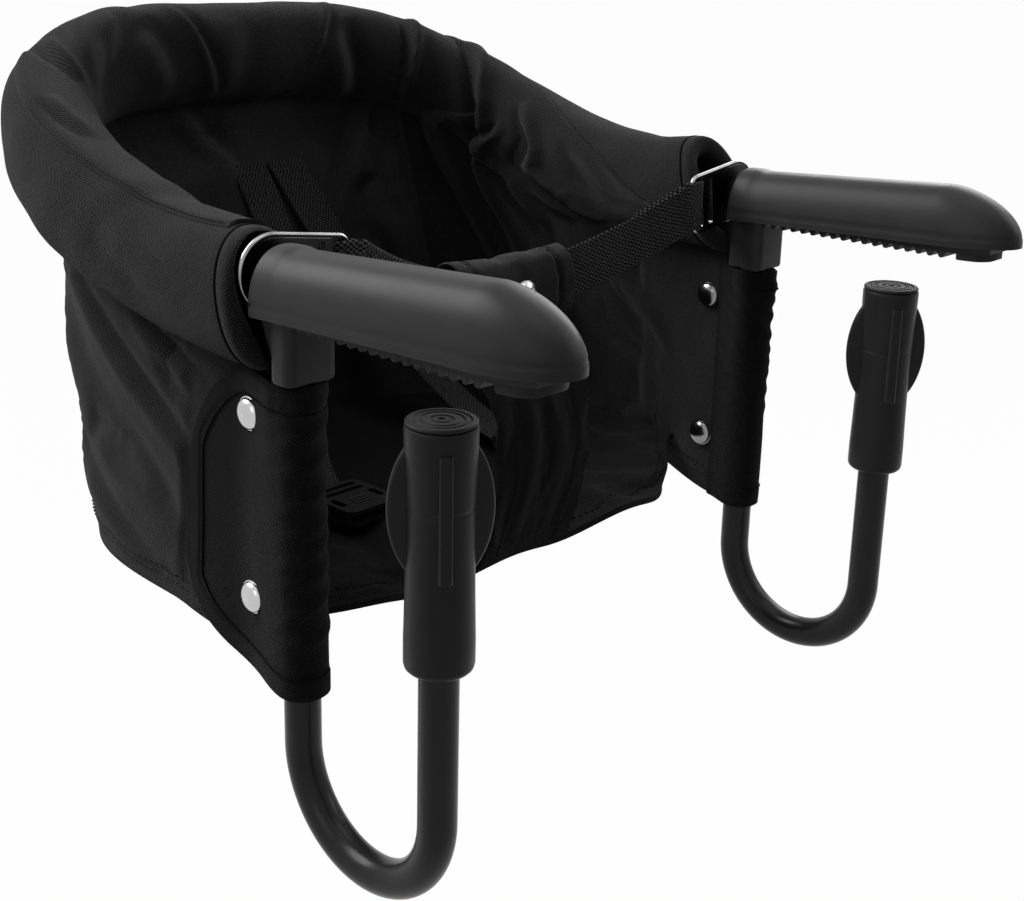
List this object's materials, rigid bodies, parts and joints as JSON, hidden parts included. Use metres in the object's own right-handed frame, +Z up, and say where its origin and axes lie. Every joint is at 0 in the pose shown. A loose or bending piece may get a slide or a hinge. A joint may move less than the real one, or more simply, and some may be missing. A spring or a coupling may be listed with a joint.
{
  "type": "clamp-on table seat",
  "caption": "Fabric baby seat hung from a bent tube rim; toothed folding arms lie on the table and winged screw sleeves on J-shaped legs clamp from below.",
  "frame": {"origin": "middle of the table edge the seat hangs on, at the height of the table top", "axes": "+Z up; +Y away from the table towards the back of the seat; +X to the child's left, so the arms point to -Y"},
  "size_m": [0.3675, 0.4332, 0.3494],
  "materials": {
    "painted_tube": "satin black powder coat",
    "plate_steel": "dark stamped steel, bright edges",
    "arm_plastic": "fine matt moulded",
    "inner_plastic": "moulded",
    "buckle_plastic": "moulded",
    "grip_rubber": "matt",
    "canvas": "plain woven, padded",
    "webbing": "ribbed woven strap",
    "snap_metal": "polished"
  },
  "bodies": {
    "seat": {"rim_tube": "painted_tube", "rim_collar": "canvas", "back_panel": "canvas", "left_side_panel": "canvas", "right_side_panel": "canvas", "seat_base": "canvas", "crotch_panel": "canvas", "crotch_sleeve": "canvas", "crotch_snap": "snap_metal", "waist_strap": "webbing", "left_shoulder_strap": "webbing", "right_shoulder_strap": "webbing", "buckle_socket": "buckle_plastic", "buckle_tongue": "buckle_plastic", "left_rim_plug": "inner_plastic", "right_rim_plug": "inner_plastic", "left_strap_plate": "plate_steel", "right_strap_plate": "plate_steel", "left_leg_flap": "canvas", "right_leg_flap": "canvas", "left_upper_flap_snap": "snap_metal", "right_upper_flap_snap": "snap_metal", "left_lower_flap_snap": "snap_metal", "right_lower_flap_snap": "snap_metal", "left_upper_wall_snap": "snap_metal", "right_upper_wall_snap": "snap_metal", "left_lower_wall_snap": "snap_metal", "right_lower_wall_snap": "snap_metal"},
    "left_arm": {"left_arm_joint": "inner_plastic", "left_arm_shell": "arm_plastic", "left_grip_pad": "grip_rubber", "left_leg_tube": "painted_tube", "left_leg_screw": "plate_steel", "left_thread_plug": "inner_plastic"},
    "left_pad": {"left_clamp_pad": "grip_rubber"},
    "left_sleeve": {"left_clamp_sleeve": "arm_plastic"},
    "right_arm": {"right_arm_joint": "inner_plastic", "right_arm_shell": "arm_plastic", "right_grip_pad": "grip_rubber", "right_leg_tube": "painted_tube", "right_leg_screw": "plate_steel", "right_thread_plug": "inner_plastic"},
    "right_pad": {"right_clamp_pad": "grip_rubber"},
    "right_sleeve": {"right_clamp_sleeve": "arm_plastic"}
  },
  "joints": [
    {"name": "left_fold", "type": "hinge", "parent": "seat", "child": "left_arm", "pos_m": [-0.16, 0, 0.015], "axis": [0, -1, 0], "range_deg": [0, 90], "deforming": ["left_leg_flap", "seat_base", "crotch_panel"]},
    {"name": "right_fold", "type": "hinge", "parent": "seat", "child": "right_arm", "pos_m": [0.16, 0, 0.015], "axis": [0, 1, 0], "range_deg": [0, 45], "deforming": ["right_leg_flap"]},
    {"name": "left_lift", "type": "slide", "parent": "left_arm", "child": "left_pad", "axis": [0, 0, 1], "range_m": [-0.024, 0.012]},
    {"name": "left_turn", "type": "hinge", "parent": "left_pad", "child": "left_sleeve", "pos_m": [-0.16, -0.073, -0.06], "axis": [0, 0, 1], "range_deg": [-1080, 540]},
    {"name": "right_lift", "type": "slide", "parent": "right_arm", "child": "right_pad", "axis": [0, 0, 1], "range_m": [-0.024, 0.012]},
    {"name": "right_turn", "type": "hinge", "parent": "right_pad", "child": "right_sleeve", "pos_m": [0.16, -0.073, -0.06], "axis": [0, 0, 1], "range_deg": [-1080, 540]}
  ],
  "couplings": [
    {"joint": "right_fold", "follows": "left_fold", "ratio": 0.5},
    {"joint": "left_turn", "follows": "left_lift", "rad_per_m": 785.4},
    {"joint": "right_turn", "follows": "right_lift", "rad_per_m": 785.4}
  ]
}
